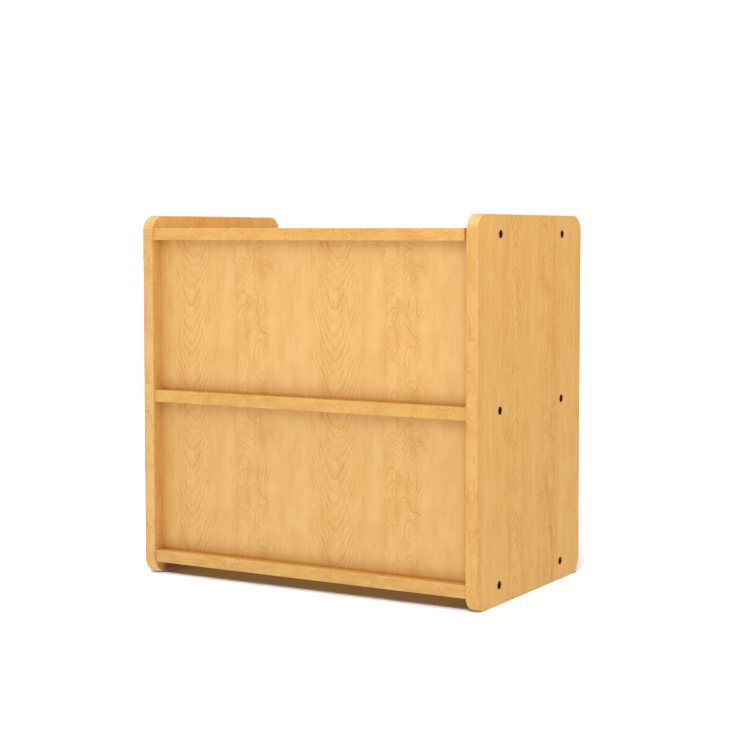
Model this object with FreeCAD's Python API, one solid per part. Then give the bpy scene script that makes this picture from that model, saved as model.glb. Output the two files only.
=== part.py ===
import FreeCAD, Part
import os

# Two-level open book storage unit. Two end panels with rounded corners carry three shelves
# on countersunk connector bolts, and two thin back panels close the rear of the compartments.
#
# Millimetres. The origin is on the floor at the middle of the unit, +X runs along its width,
# the open front faces -Y and +Z is up. Left and right are as seen from the open front.

Vector = FreeCAD.Vector

# ---- Driving dimensions ----

WIDTH = 620.0  # over both end panels
DEPTH = 381.0  # over the end panels' edges
HEIGHT = 597.0
BOARD = 19.5  # 19 mm board with a thin laminate on each face
CORNER_RADIUS = 27.5  # of the end panels' outline
FLOOR_GAP = 20.5  # floor to the underside of the bottom shelf
TOP_RIM = 21.0  # how far the end panels rise above the top shelf
SHELF_REVEAL = 3.5  # shelf edges stand this far inside the end panels' edges

BAND = 2.0  # edge band on the end panels and the shelves
PANEL_EASING = 1.5  # rounding of the end panels' banded edges
STRIP_EASING = 1.0  # rounding of the shelves' edge strips
SHORT_STRIP_GAP = 4.5  # the top shelf's rear strip stops this far short of the left end panel

BACK_SHEET = 6.0  # thickness of the back panels
BACK_RECESS = 23.0  # back panels' rear face, measured from the end panels' rear edges
TONGUE = 5.0  # how far a back panel reaches into its grooves
GROOVE_DEPTH = 6.0

BOLT_INSET = 77.0  # bolt axes, measured from the end panels' front and rear edges
BOLT_LENGTH = 60.0
BOLT_RADIUS = 3.0  # M6
BOLT_HOLE_RADIUS = 3.3
BOLT_TIP_CHAMFER = 0.8
HEAD_RADIUS = 6.6
HEAD_LAND = 0.4  # straight rim above the head's 90 degree cone
HEAD_SINK = 0.5  # the head's top lies this far below the panel's face
SOCKET_ACROSS_FLATS = 4.0
SOCKET_DEPTH = 2.4

NUT_RADIUS = 5.0
NUT_LENGTH = 14.0
NUT_SETBACK = 35.0  # nut axis, measured from the end of the shelf
NUT_CHAMFER = 0.5
NUT_SLOT_WIDTH = 1.2
NUT_SLOT_DEPTH = 1.6

DOWEL_RADIUS = 4.0
DOWEL_IN_PANEL = 11.0
DOWEL_IN_SHELF = 19.0
HOLE_SPARE = 1.0  # empty space past the end of a bolt or a dowel
DOWEL_CHAMFER = 1.0
DOWEL_FROM_BOLT = 32.0  # towards the middle of the panel

CUT_MARGIN = 1.0  # cutting tools start this far outside the faces that they enter

# ---- Places worked out from them ----

SIDES = {"left": -1, "right": 1}
FACINGS = {"front": -1, "rear": 1}
SHELF_HEIGHTS = {  # middle of each shelf's thickness
    "top": HEIGHT - TOP_RIM - BOARD / 2,
    "middle": (HEIGHT - TOP_RIM + FLOOR_GAP) / 2,
    "bottom": FLOOR_GAP + BOARD / 2,
}
HALF_CLEAR_WIDTH = WIDTH / 2 - BOARD
SHELF_HALF_DEPTH = DEPTH / 2 - SHELF_REVEAL
BACK_REAR_Y = DEPTH / 2 - BACK_RECESS
BACK_FRONT_Y = BACK_REAR_Y - BACK_SHEET
BOLT_YS = (-(DEPTH / 2 - BOLT_INSET), DEPTH / 2 - BOLT_INSET)
DOWEL_YS = tuple(y - DOWEL_FROM_BOLT * (1 if y > 0 else -1) for y in BOLT_YS)


# ---- Shapes shared by several pieces ----


def block(x_span, y_span, z_span):
    """Box between two places on each axis, given in either order."""
    x_low, x_high = sorted(x_span)
    y_low, y_high = sorted(y_span)
    z_low, z_high = sorted(z_span)
    low_corner = Vector(x_low, y_low, z_low)
    return Part.makeBox(x_high - x_low, y_high - y_low, z_high - z_low, low_corner)


def runs_along_x(edge):
    return abs(edge.tangentAt(edge.FirstParameter).x) > 0.99


def turned(profile, start, direction):
    """Solid of revolution from (distance along the axis, radius) pairs, the ends on the axis."""
    across = Vector(0, 0, 1) if abs(direction.z) < 0.5 else Vector(1, 0, 0)
    points = [start + direction * along + across * radius for along, radius in profile]
    outline = Part.makePolygon(points + points[:1])
    return Part.Face(outline).revolve(start, direction, 360)


def plain_hole(start, direction, depth, radius):
    """Cutter for a round hole whose mouth is at start."""
    profile = [(-CUT_MARGIN, 0), (-CUT_MARGIN, radius), (depth, radius), (depth, 0)]
    return turned(profile, start, direction)


def inward(side):
    """Direction from an end panel towards the middle of the unit."""
    return Vector(-side, 0, 0)


def span_outline(x_span, inset):
    """Slab with the end panel's rounded outline, drawn in by inset all round."""
    half_depth = DEPTH / 2 - inset
    slab = block(x_span, (-half_depth, half_depth), (inset, HEIGHT - inset))
    corners = [edge for edge in slab.Edges if runs_along_x(edge)]
    return slab.makeFillet(CORNER_RADIUS - inset, corners)


# ---- End panels ----


def panel_x_span(side):
    return side * HALF_CLEAR_WIDTH, side * WIDTH / 2


def countersunk_hole(side, y, z):
    """Cutter for a bolt hole, whose cone seats the bolt's head."""
    cone_start = HEAD_SINK + HEAD_LAND
    cone_end = cone_start + HEAD_RADIUS - BOLT_HOLE_RADIUS
    far_end = BOARD + CUT_MARGIN
    profile = [
        (-CUT_MARGIN, 0),
        (-CUT_MARGIN, HEAD_RADIUS),
        (cone_start, HEAD_RADIUS),
        (cone_end, BOLT_HOLE_RADIUS),
        (far_end, BOLT_HOLE_RADIUS),
        (far_end, 0),
    ]
    return turned(profile, Vector(side * WIDTH / 2, y, z), inward(side))


def back_groove_in_panel(side):
    """Stopped upright groove that holds the side edges of both back panels."""
    return block(
        (side * (HALF_CLEAR_WIDTH - CUT_MARGIN), side * (HALF_CLEAR_WIDTH + GROOVE_DEPTH)),
        (BACK_FRONT_Y, BACK_REAR_Y),
        (
            SHELF_HEIGHTS["bottom"] + BOARD / 2 - GROOVE_DEPTH,
            SHELF_HEIGHTS["top"] - BOARD / 2 + GROOVE_DEPTH,
        ),
    )


def end_panel(side):
    cutters = [back_groove_in_panel(side)]
    hole_depth = DOWEL_IN_PANEL + HOLE_SPARE
    for z in SHELF_HEIGHTS.values():
        for y in BOLT_YS:
            cutters.append(countersunk_hole(side, y, z))
        for y in DOWEL_YS:
            mouth = Vector(side * HALF_CLEAR_WIDTH, y, z)
            cutters.append(plain_hole(mouth, -inward(side), hole_depth, DOWEL_RADIUS))
    return span_outline(panel_x_span(side), BAND).cut(cutters)


def end_edge_band(side):
    """One strip wrapped round the end panel, with both outer edges eased."""
    rim = span_outline(panel_x_span(side), 0)
    sharp_edges = [edge for edge in rim.Edges if not runs_along_x(edge)]
    return rim.makeFillet(PANEL_EASING, sharp_edges).cut(span_outline(panel_x_span(side), BAND))


# ---- Shelves ----


def back_groove_in_shelf(z, facing_up):
    """Groove along the shelf for the edge of a back panel, in its upper or lower face."""
    return block(
        (-HALF_CLEAR_WIDTH - CUT_MARGIN, HALF_CLEAR_WIDTH + CUT_MARGIN),
        (BACK_FRONT_Y, BACK_REAR_Y),
        (
            z + facing_up * (BOARD / 2 - GROOVE_DEPTH),
            z + facing_up * (BOARD / 2 + CUT_MARGIN),
        ),
    )


def nut_top(z):
    """Top of a barrel nut whose thread is at the shelf's mid-thickness."""
    return z + NUT_LENGTH / 2


def shelf_end_holes(side, z):
    """Cutters for the bolts, barrel nuts and dowels at one end of a shelf."""
    end_x = side * HALF_CLEAR_WIDTH
    bolt_reach = HEAD_SINK + BOLT_LENGTH - BOARD + HOLE_SPARE
    underside = z - BOARD / 2
    cutters = []
    for y in BOLT_YS:
        cutters.append(plain_hole(Vector(end_x, y, z), inward(side), bolt_reach, BOLT_HOLE_RADIUS))
        mouth = Vector(end_x - side * NUT_SETBACK, y, underside)
        cutters.append(plain_hole(mouth, Vector(0, 0, 1), nut_top(z) - underside, NUT_RADIUS))
    for y in DOWEL_YS:
        depth = DOWEL_IN_SHELF + HOLE_SPARE
        cutters.append(plain_hole(Vector(end_x, y, z), inward(side), depth, DOWEL_RADIUS))
    return cutters


def shelf_board(level):
    z = SHELF_HEIGHTS[level]
    half_depth = SHELF_HALF_DEPTH - BAND
    board = block(
        (-HALF_CLEAR_WIDTH, HALF_CLEAR_WIDTH),
        (-half_depth, half_depth),
        (z - BOARD / 2, z + BOARD / 2),
    )
    cutters = [cutter for side in SIDES.values() for cutter in shelf_end_holes(side, z)]
    if level != "top":
        cutters.append(back_groove_in_shelf(z, 1))
    if level != "bottom":
        cutters.append(back_groove_in_shelf(z, -1))
    return board.cut(cutters)


def shelf_edge_strip(level, facing):
    """Strip glued to a shelf's front or rear edge, its two outer edges eased."""
    z = SHELF_HEIGHTS[level]
    is_short = level == "top" and facing == FACINGS["rear"]
    left_end = -HALF_CLEAR_WIDTH + (SHORT_STRIP_GAP if is_short else 0)
    outer_y = facing * SHELF_HALF_DEPTH
    strip = block(
        (left_end, HALF_CLEAR_WIDTH),
        (outer_y - facing * BAND, outer_y),
        (z - BOARD / 2, z + BOARD / 2),
    )
    outer_edges = [
        edge
        for edge in strip.Edges
        if runs_along_x(edge) and abs(edge.CenterOfMass.y - outer_y) < BAND / 2
    ]
    return strip.makeFillet(STRIP_EASING, outer_edges)


# ---- Back panels ----


def back_panel(lower_level, upper_level):
    """Thin panel whose four edges lie in grooves of the shelves and the end panels."""
    half_width = HALF_CLEAR_WIDTH + TONGUE
    return block(
        (-half_width, half_width),
        (BACK_FRONT_Y, BACK_REAR_Y),
        (
            SHELF_HEIGHTS[lower_level] + BOARD / 2 - TONGUE,
            SHELF_HEIGHTS[upper_level] - BOARD / 2 + TONGUE,
        ),
    )


# ---- Fasteners ----


def hex_socket(side, y, z):
    """Cutter for the hexagonal socket in a bolt's head."""
    corner_radius = SOCKET_ACROSS_FLATS / 2 / (3**0.5 / 2)
    mouth = Vector(side * (WIDTH / 2 - HEAD_SINK + CUT_MARGIN), y, z)
    first_corner = mouth + Vector(0, 0, corner_radius)
    corners = []
    for step in range(6):
        turn = FreeCAD.Rotation(Vector(1, 0, 0), 60 * step)
        corners.append(mouth + turn.multVec(first_corner - mouth))
    outline = Part.makePolygon(corners + corners[:1])
    return Part.Face(outline).extrude(inward(side) * (SOCKET_DEPTH + CUT_MARGIN))


def connector_bolt(side, y, z):
    cone_start = HEAD_SINK + HEAD_LAND
    cone_end = cone_start + HEAD_RADIUS - BOLT_RADIUS
    tip = HEAD_SINK + BOLT_LENGTH
    profile = [
        (HEAD_SINK, 0),
        (HEAD_SINK, HEAD_RADIUS),
        (cone_start, HEAD_RADIUS),
        (cone_end, BOLT_RADIUS),
        (tip - BOLT_TIP_CHAMFER, BOLT_RADIUS),
        (tip, BOLT_RADIUS - BOLT_TIP_CHAMFER),
        (tip, 0),
    ]
    bolt = turned(profile, Vector(side * WIDTH / 2, y, z), inward(side))
    return bolt.cut(hex_socket(side, y, z))


def barrel_nut(side, y, z):
    """Cross-drilled steel barrel with a screwdriver slot in its lower end."""
    x = side * (HALF_CLEAR_WIDTH - NUT_SETBACK)
    profile = [
        (0, 0),
        (0, NUT_RADIUS - NUT_CHAMFER),
        (NUT_CHAMFER, NUT_RADIUS),
        (NUT_LENGTH, NUT_RADIUS),
        (NUT_LENGTH, 0),
    ]
    bottom = Vector(x, y, nut_top(z) - NUT_LENGTH)
    barrel = turned(profile, bottom, Vector(0, 0, 1))
    thread_mouth = Vector(x + side * NUT_RADIUS, y, z)
    thread = plain_hole(thread_mouth, inward(side), 2 * NUT_RADIUS + CUT_MARGIN, BOLT_RADIUS)
    slot = block(
        (x - NUT_RADIUS - CUT_MARGIN, x + NUT_RADIUS + CUT_MARGIN),
        (y - NUT_SLOT_WIDTH / 2, y + NUT_SLOT_WIDTH / 2),
        (bottom.z - CUT_MARGIN, bottom.z + NUT_SLOT_DEPTH),
    )
    return barrel.cut([thread, slot])


def dowel(side, y, z):
    length = DOWEL_IN_PANEL + DOWEL_IN_SHELF
    profile = [
        (0, 0),
        (0, DOWEL_RADIUS - DOWEL_CHAMFER),
        (DOWEL_CHAMFER, DOWEL_RADIUS),
        (length - DOWEL_CHAMFER, DOWEL_RADIUS),
        (length, DOWEL_RADIUS - DOWEL_CHAMFER),
        (length, 0),
    ]
    outer_end = Vector(side * (HALF_CLEAR_WIDTH + DOWEL_IN_PANEL), y, z)
    return turned(profile, outer_end, inward(side))


# ---- The whole unit ----


def all_pieces():
    """Every piece by node name. Equal fasteners at one end of a shelf share a node."""
    pieces = {
        "upper_back_panel": back_panel("middle", "top"),
        "lower_back_panel": back_panel("bottom", "middle"),
    }
    for side_name, side in SIDES.items():
        pieces[f"{side_name}_end_panel"] = end_panel(side)
        pieces[f"{side_name}_end_edge_band"] = end_edge_band(side)
    for level, z in SHELF_HEIGHTS.items():
        pieces[f"{level}_shelf"] = shelf_board(level)
        for facing_name, facing in FACINGS.items():
            pieces[f"{level}_shelf_{facing_name}_strip"] = shelf_edge_strip(level, facing)
        for side_name, side in SIDES.items():
            prefix = f"{level}_shelf_{side_name}"
            bolts = [connector_bolt(side, y, z) for y in BOLT_YS]
            nuts = [barrel_nut(side, y, z) for y in BOLT_YS]
            dowels = [dowel(side, y, z) for y in DOWEL_YS]
            pieces[f"{prefix}_bolts"] = Part.makeCompound(bolts)
            pieces[f"{prefix}_barrel_nuts"] = Part.makeCompound(nuts)
            pieces[f"{prefix}_dowels"] = Part.makeCompound(dowels)
    return pieces


os.makedirs("parts", exist_ok=True)
for node, shape in all_pieces().items():
    shape.exportStep(f"parts/{node}.step")
    print(f"{node}: {len(shape.Solids)} solid(s), {shape.Volume / 1000:.1f} cm3, valid {shape.isValid()}")
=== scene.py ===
import math

import bpy
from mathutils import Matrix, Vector


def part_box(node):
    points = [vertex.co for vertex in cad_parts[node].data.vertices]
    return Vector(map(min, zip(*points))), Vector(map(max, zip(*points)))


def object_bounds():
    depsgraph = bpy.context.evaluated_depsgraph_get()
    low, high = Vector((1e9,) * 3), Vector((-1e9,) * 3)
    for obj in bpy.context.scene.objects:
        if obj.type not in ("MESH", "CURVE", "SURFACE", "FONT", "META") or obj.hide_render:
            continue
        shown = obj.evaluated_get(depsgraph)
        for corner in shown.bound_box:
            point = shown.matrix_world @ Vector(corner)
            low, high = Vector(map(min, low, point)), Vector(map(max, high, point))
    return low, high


# Looks for the two-level book storage unit: procedural flat-cut maple on every board, strip and
# edge band, chipboard where a board's core shows, black and zinc-plated fasteners and beech
# dowels. Object places are metres, and the wood is described in millimetres.

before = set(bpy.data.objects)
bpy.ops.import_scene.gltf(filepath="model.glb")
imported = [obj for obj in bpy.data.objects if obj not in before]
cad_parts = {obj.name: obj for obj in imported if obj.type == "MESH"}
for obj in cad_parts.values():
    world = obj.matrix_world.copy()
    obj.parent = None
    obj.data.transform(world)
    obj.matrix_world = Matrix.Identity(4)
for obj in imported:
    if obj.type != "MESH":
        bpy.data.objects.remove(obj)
cad_low, cad_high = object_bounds()

# ---- The unit, in millimetres ----

MM = 1000.0  # millimetres in a metre
HALF_DEPTH = cad_high.y * MM
HEIGHT = cad_high.z * MM
CLEAR_HALF_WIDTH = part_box("top_shelf")[1].x * MM  # from the middle to an end panel's inner face
FLOOR_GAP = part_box("bottom_shelf")[0].z * MM
BACK_FACE_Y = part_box("upper_back_panel")[1].y * MM  # rear face of both back panels
GROOVE = 5.0  # how far a back panel goes into each groove round it
CORNER_RADIUS = 27.5  # of the end panels' outline

# ---- Camera ----

CAMERA_PLACE = (-1.4393, 2.4327, 0.5669)
CAMERA_YAW = 30.224  # degrees from looking straight at the rear
CAMERA_PITCH = 3.379  # degrees below level
CAMERA_LENS = 81.8
CAMERA_SHIFT = -0.05

# ---- Studio ----

FLOOR_SIZE = 60.0
FLOOR_ALBEDO = 0.26

# A brightness of 1 shows a white surface that is square to the light as white.
SKY_LIGHT = 0.58
BOUNCE_LIGHT = 1.46  # from below the horizon, as a bright studio floor sends it
REFLECTED_SHARE = 0.15  # how much of both shows in the finish
BACKDROP_LIGHT = 1.15  # what the camera sees past the floor
HORIZON_BLUR = 0.02

# Name, degrees above level, degrees turned, brightness on level ground, spread, floor only.
SUNS = (
    ("overhead", 90.0, 0.0, 0.55, 40.0, False),
    ("floor_overhead", 90.0, 0.0, 2.20, 30.0, True),
    ("floor_key", 50.0, 4.5, 2.30, 24.0, True),
)
# Name, place, target, size, brightness, whether the finish reflects it.
AREA_LIGHTS = (
    ("side_fill", (-1.9, 0.2, 1.9), (-0.31, 0.0, 0.35), (1.5, 1.5), 1.75, True),
    ("rear_key", (-0.75, 1.62, 1.55), (0.0, 0.19, 0.35), (1.1, 1.1), 3.75, False),
    ("front_fill", (-0.30, -2.4, 1.4), (0.0, -0.19, 0.3), (1.5, 1.5), 2.0, True),
    ("rear_strip", (1.0, 0.9, 2.6), (1.0, 0.9, 0.0), (0.5, 2.6), 5.8, True),
    ("front_strip", (1.0, -1.4, 2.6), (1.0, -1.4, 0.0), (0.5, 2.0), 1.8, True),
)

# ---- Maple, in millimetres. Sizes are (across, along, through the grain) ----

LEAF_WIDTH = 277.5  # the figure repeats at this distance across the grain
LEAF_START = -50.0  # a leaf's first edge, measured from the middle of its cathedral
RING_PITCH = 0.0175  # rings for each mm ** RING_POWER away from a cathedral's middle
RING_POWER = 1.5
RING_CLIMB = 0.052  # rings for each mm along the grain
APEX_ROUNDING = 4.0  # a cathedral's tips are rounded over about this distance
CATHEDRAL_REACH = 75.0  # past this distance the rings stop following the cathedral
CATHEDRAL_FADE = (18.0, 60.0)  # its lines fade between these distances from its middle
LINES_BESIDE = 0.15  # how strongly they show past that
SWIRL_AXIS = 125.0  # middle of the column of swirls beside each cathedral
SWIRL_FADE = (18.0, 56.0)  # their lines fade between these distances from its middle
SWIRL_ONSET = (50.0, 105.0)  # rings start to swirl between these from the cathedral's middle
SWIRL_RINGS = 15.0  # how many rings the swirls move the count by
LINE_FADE = (0.3, 1.2)  # a dark line fades between these distances from its middle
WEAKEST_LINE = 0.45  # strength of the weakest dark line, where the strongest has 1
FAINTEST_STRETCH = 0.35  # lines fade to this share along parts of their length
STRETCH_NOISE = (0.32, 0.58)  # value of the noise on the faintest and on the clearest parts
LINES_BETWEEN = 3.0  # faint lines in each ring
BETWEEN_FADE = (0.02, 0.22)  # they fade between these shares of their pitch
BETWEEN_STRENGTH = 0.30
GRADIENT_STEP = 0.8  # distance over which the rings' slope is taken

# Wandering of the rings: size, detail, seed, and swing across and along the grain.
WANDERINGS = (
    ((55.0, 110.0, 40.0), 1.0, 3.0, 20.0, 50.0),
    ((5.0, 9.0, 25.0), 2.0, 7.0, 6.0, 10.0),
)
# Variations of tone: size, detail, seed and swing.
VARIATIONS = {
    "broad": ((20.0, 700.0, 30.0), 2.0, 23.0, 0.36),
    "streaks": ((5.5, 90.0, 20.0), 2.0, 29.0, 0.12),
    "fibres": ((0.9, 10.0, 8.0), 1.0, 31.0, 0.11),
    "clouds": ((16.0, 40.0, 30.0), 3.0, 37.0, 0.44),
}
MAPLE_TONE = 0.60
SHADING_TONE = -0.17
LINE_TONE = -0.31
SMALL_FLECK_TONE = -0.10
DARK_FLECK_TONE = -0.30
MAPLE_TONES = (  # colour at each tone, from the darkest line to the palest streak
    (0.00, (0.42, 0.160, 0.018)),
    (0.35, (0.605, 0.305, 0.060)),
    (0.60, (0.680, 0.384, 0.098)),
    (1.00, (0.760, 0.485, 0.155)),
)
FINISH_ROUGHNESS = 0.28
STREAK_ROUGHNESS = 0.08  # its swing with the streaks
FIBRE_ROUGHNESS = 0.05  # and with the fibres
LINE_HEIGHT = -0.5  # of a dark line in the relief, against 1 for the fibres
WOOD_RELIEF = 0.00001  # metres
BAND_RELIEF = 0.000004

# ---- How the pieces differ ----

END_TINT = (0.99, 0.96, 1.01)
BACK_TINTS = {"upper": (1.03, 1.08, 1.45), "lower": (1.01, 1.04, 1.35)}  # paler than the boards
BAND_TINTS = {"left": (0.98, 0.98, 1.13), "right": (1.01, 1.06, 1.47)}
# Each level's strips have their own tint; the bottom strip's darker tint is painted shade, darker
# low down where less light falls.
STRIP_TINTS = {
    "top": (0.99, 0.99, 1.07),
    "middle": (0.98, 0.98, 1.05),
    "bottom": (0.93, 0.94, 1.08),
}
END_FIGURE = 1.15  # strength of the growth rings, 1 on the shelves and back panels
EDGE_FIGURE = 0.9

END_CATHEDRAL_Y = 60.0  # middle of each piece's cathedral
SHELF_CATHEDRAL_Y = -20.0
BACK_CATHEDRAL_X = 228.8

# Pieces are cut from different places in the log, along the grain or through it.
SHELF_STARTS = {"top": 0.0, "middle": 500.0, "bottom": 1000.0}
STRIP_STARTS = {"top": 0.0, "middle": 230.0, "bottom": 460.0}
REAR_STRIP_START = 410.0  # past the front strip's
BAND_STARTS = {"left": 40.0, "right": 130.0}
BACK_LAYER = 300.0
BAND_LAYER = 700.0
STRIP_LAYER = 900.0

# ---- Painted shade in the inside corners and under the bottom shelf ----

CORNER_SHADE_COLOUR = (0.45, 0.175, 0.014)  # painted shade: colour mixed in where the inside corners fall into shade
CORNER_SHADE_ON_LEDGE = {"top": 0.0, "middle": 0.38, "bottom": 0.60}  # share of that painted shade on each shelf's ledge
LEDGE_REACH = 24.0  # how far from the back panel it ends
CORNER_SHADE_ABOVE_SHELF = ((6.0, 0.40), (26.0, 0.28))  # (reach, share) of painted corner shade on the back panels
# painted shade on the back panels beside the end panels: (reach, share)
CORNER_SHADE_BESIDE_PANEL = (34.0, 0.20)
# Painted shade: the bottom shelf's underside is darker and redder, which darkens and colours the
# shadow on the floor beneath the unit.
UNDERSIDE_SHADE_COLOUR = (0.50, 0.160, 0.030)
UNDERSIDE_SHADE_SHARE = 0.5
FOOT_SHADE_COLOUR = (0.10, 0.029, 0.003)  # painted shade below the bottom shelf, on the end panels' inner faces and the edge bands
FOOT_SHADE_BLUR = 2.0  # height over which it sets in
FOOT_SHADE_NEAR_EDGE = 0.25  # share of that painted shade at an end panel's front and rear edges
FOOT_SHADE_EDGE_REACH = 40.0
BAND_FOOT_SHADE_SHARE = 0.95
BAND_FOOT_SHADE_REACH = 6.0
BAND_FOOT_SHADE_HEIGHTS = (1.0, 4.0)  # it ends between these heights on the edge bands


class Graph:
    """Adds nodes to a shader tree. A value given for a socket is a link, or is set on it."""

    def __init__(self, tree):
        self.tree = tree

    def node(self, kind, **settings):
        made = self.tree.nodes.new(kind)
        for name, value in settings.items():
            setattr(made, name, value)
        return made

    def put(self, socket, value):
        if isinstance(value, bpy.types.NodeSocket):
            self.tree.links.new(value, socket)
        else:
            socket.default_value = value

    def math(self, operation, *values):
        made = self.node("ShaderNodeMath", operation=operation)
        for socket, value in zip(made.inputs, values):
            self.put(socket, value)
        return made.outputs[0]

    def add(self, *values):
        total = values[0]
        for value in values[1:]:
            total = self.math("ADD", total, value)
        return total

    def times(self, first, second):
        return self.math("MULTIPLY", first, second)

    def less(self, first, second):
        return self.math("SUBTRACT", first, second)

    def split(self, vector):
        made = self.node("ShaderNodeSeparateXYZ")
        self.put(made.inputs[0], vector)
        return made.outputs[0], made.outputs[1], made.outputs[2]

    def join(self, x, y, z):
        made = self.node("ShaderNodeCombineXYZ")
        for socket, value in zip(made.inputs, (x, y, z)):
            self.put(socket, value)
        return made.outputs[0]

    def vector(self, operation, first, second):
        made = self.node("ShaderNodeVectorMath", operation=operation)
        self.put(made.inputs[0], first)
        self.put(made.inputs[1], second)
        return made.outputs[0]

    def step(self, value, low, high, from_value=0.0, to_value=1.0):
        """Smooth change from from_value to to_value while value goes from low to high."""
        made = self.node("ShaderNodeMapRange", interpolation_type="SMOOTHSTEP")
        for name, number in (
            ("Value", value),
            ("From Min", low),
            ("From Max", high),
            ("To Min", from_value),
            ("To Max", to_value),
        ):
            self.put(made.inputs[name], number)
        return made.outputs[0]

    def fade(self, distance, reach, share):
        """share at distance 0, and smoothly less until it ends at reach."""
        return self.step(distance, 0.0, reach, share, 0.0)

    def noise(self, place, sizes, detail, seed):
        """Noise whose features are about as large as sizes, as (value, colour)."""
        scaled = self.vector("DIVIDE", place, sizes)
        made = self.node("ShaderNodeTexNoise", noise_dimensions="4D")
        self.put(made.inputs["Vector"], scaled)
        made.inputs["W"].default_value = seed
        made.inputs["Scale"].default_value = 1.0
        made.inputs["Detail"].default_value = detail
        return made.outputs[0], made.outputs[1]

    def swing(self, value, amount):
        """value from 0 to 1 as a change of plus or minus half the amount."""
        return self.times(self.less(value, 0.5), amount)

    def ramp(self, value, stops):
        made = self.node("ShaderNodeValToRGB")
        self.put(made.inputs[0], value)
        elements = made.color_ramp.elements
        while len(elements) < len(stops):
            elements.new(0.5)
        for element, (position, colour) in zip(elements, stops):
            element.position = position
            element.color = (*colour, 1.0)
        return made.outputs[0]

    def mix(self, share, first, second):
        made = self.node("ShaderNodeMix", data_type="RGBA")
        self.put(made.inputs["Factor"], share)
        for socket, value in zip((made.inputs[6], made.inputs[7]), (first, second)):
            self.put(socket, value if isinstance(value, bpy.types.NodeSocket) else (*value, 1.0))
        return made.outputs[2]

    def group(self, tree, **values):
        made = self.node("ShaderNodeGroup", node_tree=tree)
        for name, value in values.items():
            self.put(made.inputs[name.replace("_", " ")], value)
        return made.outputs


def new_group(name, inputs, outputs):
    """Empty node group with (socket type, name) inputs and outputs."""
    tree = bpy.data.node_groups.new(name, "ShaderNodeTree")
    for in_out, sockets in (("INPUT", inputs), ("OUTPUT", outputs)):
        for kind, socket in sockets:
            tree.interface.new_socket(socket, in_out=in_out, socket_type="NodeSocket" + kind)
    graph = Graph(tree)
    return graph, graph.node("NodeGroupInput").outputs, graph.node("NodeGroupOutput").inputs


def ring_group():
    """Count of growth rings at a place in the board: V-shaped cathedrals with swirls between."""
    graph, given, result = new_group("ring_count", [("Vector", "Place")], [("Float", "Rings")])
    place = given[0]
    u, v, w = graph.split(place)
    for sizes, detail, seed, across, along in WANDERINGS:
        move_u, move_v, _ = graph.split(graph.noise(place, sizes, detail, seed)[1])
        u = graph.add(u, graph.swing(move_u, across))
        v = graph.add(v, graph.swing(move_v, along))

    off_axis = graph.math("PINGPONG", u, LEAF_WIDTH / 2)
    rounded = graph.math("SQRT", graph.add(graph.times(off_axis, off_axis), APEX_ROUNDING**2))
    limited = graph.math("TANH", graph.math("DIVIDE", rounded, CATHEDRAL_REACH))
    reach = graph.times(limited, CATHEDRAL_REACH)
    cathedral = graph.times(graph.math("POWER", reach, RING_POWER), RING_PITCH)
    climb = graph.times(v, -RING_CLIMB)
    swirl = graph.noise(graph.join(u, v, w), (26.0, 44.0, 40.0), detail=0.0, seed=11.0)[0]
    swirl_rings = graph.step(off_axis, *SWIRL_ONSET, 0.0, SWIRL_RINGS)
    moved = graph.times(graph.less(swirl, 0.5), swirl_rings)
    graph.put(result[0], graph.add(cathedral, climb, moved))
    return graph.tree


def ring_lines(graph, place):
    """(dark line, shading towards it) from 0 to 1 at a place, from the ring count and its slope."""
    rings = ring_group()
    count = graph.group(rings, Place=place)[0]
    rises = []
    for offset in ((GRADIENT_STEP, 0.0, 0.0), (0.0, GRADIENT_STEP, 0.0)):
        beside = graph.group(rings, Place=graph.vector("ADD", place, offset))[0]
        rise = graph.less(beside, count)
        rises.append(graph.times(rise, rise))
    squared_rise = graph.add(*rises, 1e-7)  # never 0, because the distance is divided by it
    slope = graph.math("DIVIDE", graph.math("SQRT", squared_rise), GRADIENT_STEP)
    distance = graph.math("DIVIDE", graph.math("PINGPONG", count, 0.5), slope)
    ring_value = graph.node("ShaderNodeTexWhiteNoise", noise_dimensions="1D")
    graph.put(ring_value.inputs["W"], graph.math("ROUND", count))
    strength = graph.step(ring_value.outputs[0], 0.0, 1.0, WEAKEST_LINE, 1.0)

    across = graph.split(place)[0]
    off_axis = graph.math("PINGPONG", across, LEAF_WIDTH / 2)
    in_cathedral = graph.step(off_axis, *CATHEDRAL_FADE, 1.0, LINES_BESIDE)
    off_swirls = graph.math("ABSOLUTE", graph.less(across, SWIRL_AXIS))
    in_swirls = graph.step(off_swirls, *SWIRL_FADE, 1.0, 0.0)
    zone = graph.math("MAXIMUM", in_cathedral, in_swirls)
    stretches = graph.noise(place, (15.0, 32.0, 30.0), detail=2.0, seed=17.0)[0]
    visible = graph.times(zone, graph.step(stretches, *STRETCH_NOISE, FAINTEST_STRETCH, 1.0))
    line = graph.times(graph.step(distance, *LINE_FADE, 1.0, 0.0), graph.times(strength, visible))
    off_between = graph.math("PINGPONG", graph.times(count, LINES_BETWEEN), 0.5)
    between = graph.step(off_between, *BETWEEN_FADE, BETWEEN_STRENGTH, 0.0)
    shading = graph.times(graph.math("POWER", graph.math("FRACT", count), 2.0), visible)
    return graph.math("MAXIMUM", line, graph.times(between, visible)), shading


def flecks(graph, place, spread, size, share, seed):
    """Short dark marks along the grain, one at most in each cell as large as spread."""
    cells = graph.node("ShaderNodeTexVoronoi", voronoi_dimensions="4D")
    graph.put(cells.inputs["Vector"], graph.vector("DIVIDE", place, spread))
    cells.inputs["W"].default_value = seed
    cells.inputs["Scale"].default_value = 1.0
    chosen = graph.step(graph.split(cells.outputs["Color"])[0], 1.0 - share, 1.0 - share + 0.05)
    return graph.times(graph.step(cells.outputs["Distance"], 0.4 * size, size, 1.0, 0.0), chosen)


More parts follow.
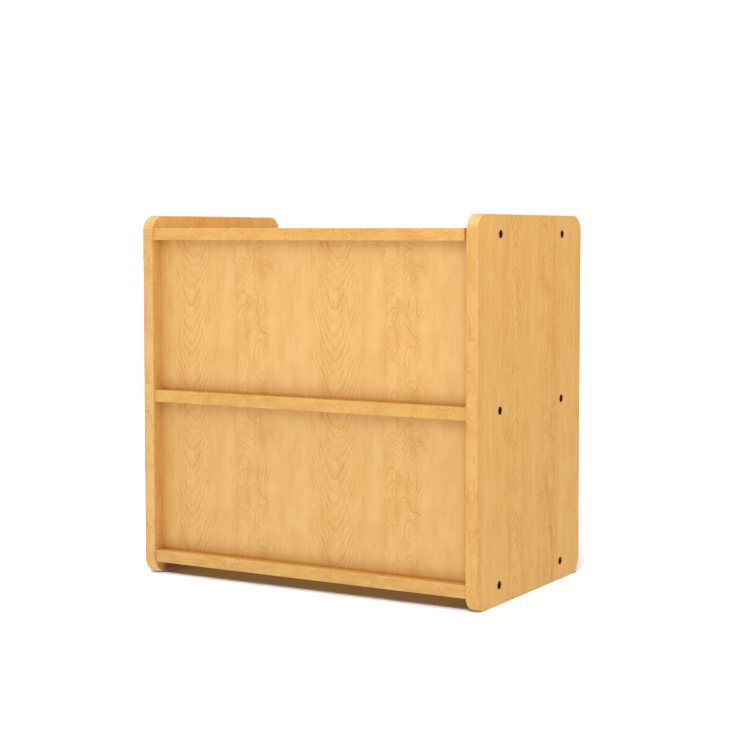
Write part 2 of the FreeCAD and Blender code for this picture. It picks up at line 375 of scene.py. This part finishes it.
def maple_group():
    """Flat-cut maple under a clear satin finish. Place is (across, along, through the grain)."""
    graph, given, result = new_group(
        "maple",
        [("Vector", "Place"), ("Float", "Figure")],
        [("Color", "Color"), ("Float", "Roughness"), ("Float", "Height")],
    )
    u, v, w = graph.split(given["Place"])
    leaf_u = graph.math("FLOORED_MODULO", graph.less(u, LEAF_START), LEAF_WIDTH)
    place = graph.join(graph.add(leaf_u, LEAF_START), v, w)
    line, shading = ring_lines(graph, place)
    rings = graph.add(graph.times(shading, SHADING_TONE), graph.times(line, LINE_TONE))
    small = flecks(graph, place, spread=(5.0, 18.0, 30.0), size=0.16, share=0.5, seed=2.0)
    dark = flecks(graph, place, spread=(17.0, 42.0, 50.0), size=0.08, share=0.3, seed=5.0)

    varied, swings = {}, []
    for name, (sizes, detail, seed, swing) in VARIATIONS.items():
        varied[name] = graph.noise(place, sizes, detail, seed)[0]
        swings.append(graph.swing(varied[name], swing))
    tone = graph.add(
        MAPLE_TONE,
        *swings,
        graph.times(rings, given["Figure"]),
        graph.times(small, SMALL_FLECK_TONE),
        graph.times(dark, DARK_FLECK_TONE),
    )
    roughness = graph.add(
        FINISH_ROUGHNESS,
        graph.swing(varied["streaks"], STREAK_ROUGHNESS),
        graph.swing(varied["fibres"], FIBRE_ROUGHNESS),
    )
    graph.put(result["Color"], graph.ramp(tone, MAPLE_TONES))
    graph.put(result["Roughness"], roughness)
    graph.put(result["Height"], graph.add(varied["fibres"], graph.times(line, LINE_HEIGHT)))
    return graph.tree


def core_group():
    """Chipboard, for the cut faces of a board's core."""
    graph, given, result = new_group(
        "chipboard",
        [("Vector", "Place")],
        [("Color", "Color"), ("Float", "Height")],
    )
    chips = graph.node("ShaderNodeTexVoronoi")
    graph.put(chips.inputs["Vector"], graph.vector("DIVIDE", given["Place"], (1.6, 3.5, 1.2)))
    chips.inputs["Scale"].default_value = 1.0
    chip_tone = graph.split(chips.outputs["Color"])[0]
    dust_and_shade = graph.noise(given["Place"], (0.6, 0.9, 0.6), detail=3.0, seed=41.0)[0]
    tone = graph.add(graph.times(chip_tone, 0.7), graph.swing(dust_and_shade, 0.6))
    stops = ((0.0, (0.30, 0.105, 0.018)), (0.5, (0.50, 0.210, 0.045)), (1.0, (0.62, 0.31, 0.09)))
    graph.put(result["Color"], graph.ramp(tone, stops))
    graph.put(result["Height"], tone)
    return graph.tree


MAPLE = maple_group()
CORE = core_group()


def new_material(name):
    """Empty node material, with its graph and its surface shader."""
    material = bpy.data.materials.new(name)
    material.use_nodes = True
    material.node_tree.nodes.clear()
    graph = Graph(material.node_tree)
    shader = graph.node("ShaderNodeBsdfPrincipled")
    output = graph.node("ShaderNodeOutputMaterial")
    graph.put(output.inputs["Surface"], shader.outputs[0])
    return material, graph, shader


def object_place(graph):
    """The row frame's x, y and z in millimetres."""
    coordinates = graph.node("ShaderNodeTexCoord").outputs["Object"]
    return graph.split(graph.vector("MULTIPLY", coordinates, (MM, MM, MM)))


def bump(graph, shader, height, depth):
    """Surface relief, depth in metres."""
    made = graph.node("ShaderNodeBump")
    made.inputs["Strength"].default_value = 1.0
    made.inputs["Distance"].default_value = depth
    graph.put(made.inputs["Height"], height)
    graph.put(shader.inputs["Normal"], made.outputs[0])


def finish_wood(
    graph, shader, place, figure=1.0, tint=None, painted_shades=(), cut_face=None, relief=WOOD_RELIEF
):
    """Maple on a shader, with painted shades of (share, colour) mixed over it, and chipboard where
    cut_face is 1.
    """
    maple = graph.group(MAPLE, Place=place, Figure=figure)
    colour, height = maple["Color"], maple["Height"]
    if tint is not None:
        colour = graph.vector("MULTIPLY", colour, tint)
    for share, shade_colour in painted_shades:
        colour = graph.mix(share, colour, shade_colour)
    if cut_face is not None:
        core = graph.group(CORE, Place=place)
        colour = graph.mix(cut_face, colour, core["Color"])
        height = graph.add(height, graph.times(cut_face, core["Height"]))
    graph.put(shader.inputs["Base Color"], colour)
    graph.put(shader.inputs["Roughness"], maple["Roughness"])
    bump(graph, shader, height, relief)


def facing_away(graph, axis):
    """1 on faces that don't face along the given axis (0, 1 or 2), otherwise 0."""
    normal = graph.node("ShaderNodeNewGeometry").outputs["True Normal"]
    along = graph.math("ABSOLUTE", graph.split(normal)[axis])
    return graph.step(along, 0.5, 0.6, 1.0, 0.0)


def past_inner_face(graph, x):
    """Distance into an end panel from its inner face."""
    return graph.less(graph.math("ABSOLUTE", x), CLEAR_HALF_WIDTH)


# ---- Boards ----


def end_panel_material(side):
    material, graph, shader = new_material(f"{side}_end_panel_maple")
    x, y, z = object_place(graph)
    place = graph.join(graph.less(END_CATHEDRAL_Y, y), graph.times(z, -1.0), x)
    # Painted shade on the inner face below the bottom shelf, lighter towards the front and rear
    # edges.
    on_inner_face = graph.step(past_inner_face(graph, x), 0.1, 0.2, 1.0, 0.0)
    below_shelf = graph.step(z, FLOOR_GAP - FOOT_SHADE_BLUR, FLOOR_GAP, 1.0, 0.0)
    from_edge = graph.less(HALF_DEPTH, graph.math("ABSOLUTE", y))
    sheltered = graph.step(from_edge, 0.0, FOOT_SHADE_EDGE_REACH, FOOT_SHADE_NEAR_EDGE, 1.0)
    dust_and_shade = graph.times(graph.times(on_inner_face, below_shelf), sheltered)
    finish_wood(
        graph,
        shader,
        place,
        figure=END_FIGURE,
        tint=END_TINT,
        painted_shades=[(dust_and_shade, FOOT_SHADE_COLOUR)],
        cut_face=facing_away(graph, 0),
    )
    return material


def shelf_material(level):
    material, graph, shader = new_material(f"{level}_shelf_maple")
    x, y, z = object_place(graph)
    across = graph.less(y, SHELF_CATHEDRAL_Y)
    place = graph.join(across, graph.add(x, SHELF_STARTS[level]), z)
    behind_back = graph.less(y, BACK_FACE_Y)
    on_ledge = graph.step(behind_back, -0.5, 0.0)
    # Painted shade: the ledge behind the back panel darkens towards the back panel.
    corner_shade = graph.times(graph.fade(behind_back, LEDGE_REACH, CORNER_SHADE_ON_LEDGE[level]), on_ledge)
    # Painted shade on the bottom shelf's underside.
    underside = graph.step(z, FLOOR_GAP, FLOOR_GAP + 0.2, UNDERSIDE_SHADE_SHARE, 0.0)
    painted_shades = [(corner_shade, CORNER_SHADE_COLOUR), (underside, UNDERSIDE_SHADE_COLOUR)]
    finish_wood(graph, shader, place, painted_shades=painted_shades, cut_face=facing_away(graph, 2))
    return material


def back_panel_material(which):
    name = f"{which}_back_panel"
    low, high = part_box(name)
    material, graph, shader = new_material(f"{name}_maple")
    x, y, z = object_place(graph)
    across = graph.less(BACK_CATHEDRAL_X, x)
    along = graph.less(z, high.z * MM)
    place = graph.join(across, along, graph.add(y, BACK_LAYER))
    # Painted shade: darker near the shelf below and near the end panels beside.
    above_shelf = graph.less(z, low.z * MM + GROOVE)
    beside_panel = graph.less(CLEAR_HALF_WIDTH, graph.math("ABSOLUTE", x))
    fades = [graph.fade(above_shelf, reach, share) for reach, share in CORNER_SHADE_ABOVE_SHELF]
    corner_shade = graph.add(*fades, graph.fade(beside_panel, *CORNER_SHADE_BESIDE_PANEL))
    painted_shades = [(corner_shade, CORNER_SHADE_COLOUR)]
    finish_wood(graph, shader, place, tint=BACK_TINTS[which], painted_shades=painted_shades)
    return material


def edge_band_material(side):
    """Maple whose grain follows the strip round the panel's outline."""
    low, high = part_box(f"{side}_end_edge_band")
    middle = (low.x + high.x) * MM / 2
    material, graph, shader = new_material(f"{side}_edge_band_maple")
    x, y, z = object_place(graph)
    upright_half = HEIGHT / 2 - CORNER_RADIUS
    level_half = HALF_DEPTH - CORNER_RADIUS
    from_middle = graph.less(z, HEIGHT / 2)
    rise = graph.math("ABSOLUTE", from_middle)
    out = graph.math("ABSOLUTE", y)
    past_upright = graph.math("MAXIMUM", graph.less(rise, upright_half), 0.0)
    past_level = graph.math("MAXIMUM", graph.less(out, level_half), 0.0)
    turn = graph.math("ARCTAN2", past_upright, past_level)
    travelled = graph.add(
        graph.math("MINIMUM", rise, upright_half),
        graph.times(turn, CORNER_RADIUS),
        graph.less(level_half, graph.math("MINIMUM", out, level_half)),
    )
    along = graph.times(travelled, graph.math("SIGN", from_middle))
    across = graph.add(x, SWIRL_AXIS - middle)
    place = graph.join(across, graph.add(along, BAND_STARTS[side]), BAND_LAYER)
    # Painted shade along the foot of the band beside the inner face, below the bottom shelf.
    by_inner_edge = graph.fade(past_inner_face(graph, x), BAND_FOOT_SHADE_REACH, BAND_FOOT_SHADE_SHARE)
    dust_and_shade = graph.times(by_inner_edge, graph.step(z, *BAND_FOOT_SHADE_HEIGHTS, 1.0, 0.0))
    finish_wood(
        graph,
        shader,
        place,
        figure=EDGE_FIGURE,
        tint=BAND_TINTS[side],
        painted_shades=[(dust_and_shade, FOOT_SHADE_COLOUR)],
        relief=BAND_RELIEF,
    )
    return material


def strip_material(level, facing):
    node = f"{level}_shelf_{facing}_strip"
    low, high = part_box(node)
    middle = (low.z + high.z) * MM / 2
    material, graph, shader = new_material(f"{node}_maple")
    x, _, z = object_place(graph)
    start = STRIP_STARTS[level] + (REAR_STRIP_START if facing == "rear" else 0.0)
    place = graph.join(graph.add(z, SWIRL_AXIS - middle), graph.add(x, start), STRIP_LAYER)
    finish_wood(graph, shader, place, figure=EDGE_FIGURE, tint=STRIP_TINTS[level])
    return material


# ---- Fasteners ----

FASTENER_RELIEF = 0.00001  # metres
DOWEL_RELIEF = 0.00003


def black_steel_material():
    """Black oxide: nearly black, a little browner and smoother in patches."""
    material, graph, shader = new_material("black_oxide_steel")
    place = graph.join(*object_place(graph))
    patches = graph.noise(place, (1.5, 1.5, 1.5), detail=3.0, seed=51.0)[0]
    stops = ((0.3, (0.017, 0.015, 0.015)), (0.7, (0.040, 0.034, 0.031)))
    graph.put(shader.inputs["Base Color"], graph.ramp(patches, stops))
    graph.put(shader.inputs["Roughness"], graph.add(0.38, graph.swing(patches, 0.25)))
    shader.inputs["Metallic"].default_value = 0.7
    bump(graph, shader, patches, FASTENER_RELIEF)
    return material


def zinc_material():
    """Zinc plating with a faint yellow and blue passivation."""
    material, graph, shader = new_material("zinc_plated_steel")
    place = graph.join(*object_place(graph))
    tint = graph.noise(place, (5.0, 5.0, 5.0), detail=2.0, seed=53.0)[0]
    grain = graph.noise(place, (0.3, 0.3, 2.5), detail=2.0, seed=57.0)[0]
    stops = ((0.3, (0.56, 0.60, 0.66)), (0.5, (0.66, 0.66, 0.64)), (0.7, (0.70, 0.66, 0.52)))
    graph.put(shader.inputs["Base Color"], graph.ramp(tint, stops))
    graph.put(shader.inputs["Roughness"], graph.add(0.32, graph.swing(grain, 0.25)))
    shader.inputs["Metallic"].default_value = 1.0
    bump(graph, shader, grain, FASTENER_RELIEF)
    return material


def beech_material():
    """Turned beech: pinkish tan with short darker ray flecks along the dowel."""
    material, graph, shader = new_material("turned_beech")
    place = graph.join(*object_place(graph))
    fibres = graph.noise(place, (9.0, 0.6, 0.6), detail=3.0, seed=61.0)[0]
    rays = graph.noise(place, (2.2, 0.35, 0.35), detail=1.0, seed=67.0)[0]
    tone = graph.add(graph.times(fibres, 0.8), graph.step(rays, 0.60, 0.70, 0.1, -0.25))
    stops = ((0.1, (0.36, 0.19, 0.10)), (0.45, (0.60, 0.38, 0.21)), (0.8, (0.72, 0.50, 0.31)))
    graph.put(shader.inputs["Base Color"], graph.ramp(tone, stops))
    graph.put(shader.inputs["Roughness"], graph.add(0.58, graph.swing(fibres, 0.2)))
    bump(graph, shader, fibres, DOWEL_RELIEF)
    return material


def paint_everything():
    """Gives every CAD node its finish."""
    finishes = {}
    for side in ("left", "right"):
        finishes[f"{side}_end_panel"] = end_panel_material(side)
        finishes[f"{side}_end_edge_band"] = edge_band_material(side)
    for which in ("upper", "lower"):
        finishes[f"{which}_back_panel"] = back_panel_material(which)
    black, zinc, beech = black_steel_material(), zinc_material(), beech_material()
    for level in ("top", "middle", "bottom"):
        finishes[f"{level}_shelf"] = shelf_material(level)
        for facing in ("front", "rear"):
            finishes[f"{level}_shelf_{facing}_strip"] = strip_material(level, facing)
        for side in ("left", "right"):
            finishes[f"{level}_shelf_{side}_bolts"] = black
            finishes[f"{level}_shelf_{side}_barrel_nuts"] = zinc
            finishes[f"{level}_shelf_{side}_dowels"] = beech
    for name, material in finishes.items():
        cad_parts[name].material_slots[0].material = material


# ---- Putting up the studio ----


def add_area_light(name, place, target, size, brightness, reflected):
    """Rectangular soft light, aimed at target, that the finish reflects or not."""
    data = bpy.data.lights.new(name, "AREA")
    data.shape = "RECTANGLE"
    data.size, data.size_y = size
    data.energy = brightness * math.pi * size[0] * size[1]
    lamp = bpy.data.objects.new(name, data)
    lamp.location = place
    lamp.rotation_euler = (Vector(target) - Vector(place)).to_track_quat("-Z", "Y").to_euler()
    lamp.visible_camera = False
    lamp.visible_glossy = reflected
    bpy.context.scene.collection.objects.link(lamp)


def add_sun(name, rise, turn, brightness, spread, receivers):
    """Distant light on the receivers, or on everything where they are None.

    It stands rise degrees above level, and turn degrees from the rear towards the left end panel.
    """
    data = bpy.data.lights.new(name, "SUN")
    data.energy = brightness * math.pi / math.sin(math.radians(rise))
    data.angle = math.radians(spread)
    lamp = bpy.data.objects.new(name, data)
    lamp.rotation_euler = (math.radians(rise - 90.0), 0.0, math.radians(turn))
    lamp.light_linking.receiver_collection = receivers
    bpy.context.scene.collection.objects.link(lamp)


def add_floor():
    """White floor that shows shadows. The light it would send back is in the surroundings."""
    half = FLOOR_SIZE / 2
    mesh = bpy.data.meshes.new("floor")
    corners = [(-half, -half, 0), (half, -half, 0), (half, half, 0), (-half, half, 0)]
    mesh.from_pydata(corners, [], [(0, 1, 2, 3)])
    floor = bpy.data.objects.new("floor", mesh)
    floor.visible_diffuse = floor.visible_glossy = floor.visible_shadow = False
    bpy.context.scene.collection.objects.link(floor)
    material, _, shader = new_material("pale_floor")
    shader.inputs["Base Color"].default_value = (FLOOR_ALBEDO, FLOOR_ALBEDO, FLOOR_ALBEDO, 1.0)
    shader.inputs["Roughness"].default_value = 0.9
    shader.inputs["Specular IOR Level"].default_value = 0.0
    mesh.materials.append(material)
    return floor


def add_surroundings():
    """White to look at. On the object, a soft sky above and the floor's bounced light below."""
    world = bpy.data.worlds.new("studio")
    world.use_nodes = True
    world.node_tree.nodes.clear()
    graph = Graph(world.node_tree)
    rise = graph.split(graph.node("ShaderNodeTexCoord").outputs["Generated"])[2]
    brightness = graph.step(rise, -HORIZON_BLUR, HORIZON_BLUR, BOUNCE_LIGHT, SKY_LIGHT)
    rays = graph.node("ShaderNodeLightPath").outputs
    reflected = graph.step(rays["Is Glossy Ray"], 0.0, 1.0, 1.0, REFLECTED_SHARE)
    brightness = graph.times(brightness, reflected)
    seen = graph.times(rays["Is Camera Ray"], graph.less(BACKDROP_LIGHT, brightness))
    background = graph.node("ShaderNodeBackground")
    background.inputs["Color"].default_value = (1.0, 1.0, 1.0, 1.0)
    graph.put(background.inputs["Strength"], graph.add(brightness, seen))
    output = graph.node("ShaderNodeOutputWorld")
    graph.put(output.inputs["Surface"], background.outputs[0])
    bpy.context.scene.world = world


def add_camera():
    data = bpy.data.cameras.new("camera")
    data.lens = CAMERA_LENS
    data.shift_y = CAMERA_SHIFT
    data.clip_start, data.clip_end = 0.05, 100.0
    camera = bpy.data.objects.new("camera", data)
    camera.location = CAMERA_PLACE
    turn = (90.0 - CAMERA_PITCH, 0.0, 180.0 + CAMERA_YAW)
    camera.rotation_euler = [math.radians(angle) for angle in turn]
    bpy.context.scene.collection.objects.link(camera)
    bpy.context.scene.camera = camera


add_camera()
paint_everything()
floor_only = bpy.data.collections.new("floor_only")
floor_only.objects.link(add_floor())
add_surroundings()
for *sun, on_floor_only in SUNS:
    add_sun(*sun, floor_only if on_floor_only else None)
for area_light in AREA_LIGHTS:
    add_area_light(*area_light)
bpy.context.scene.view_settings.view_transform = "Standard"
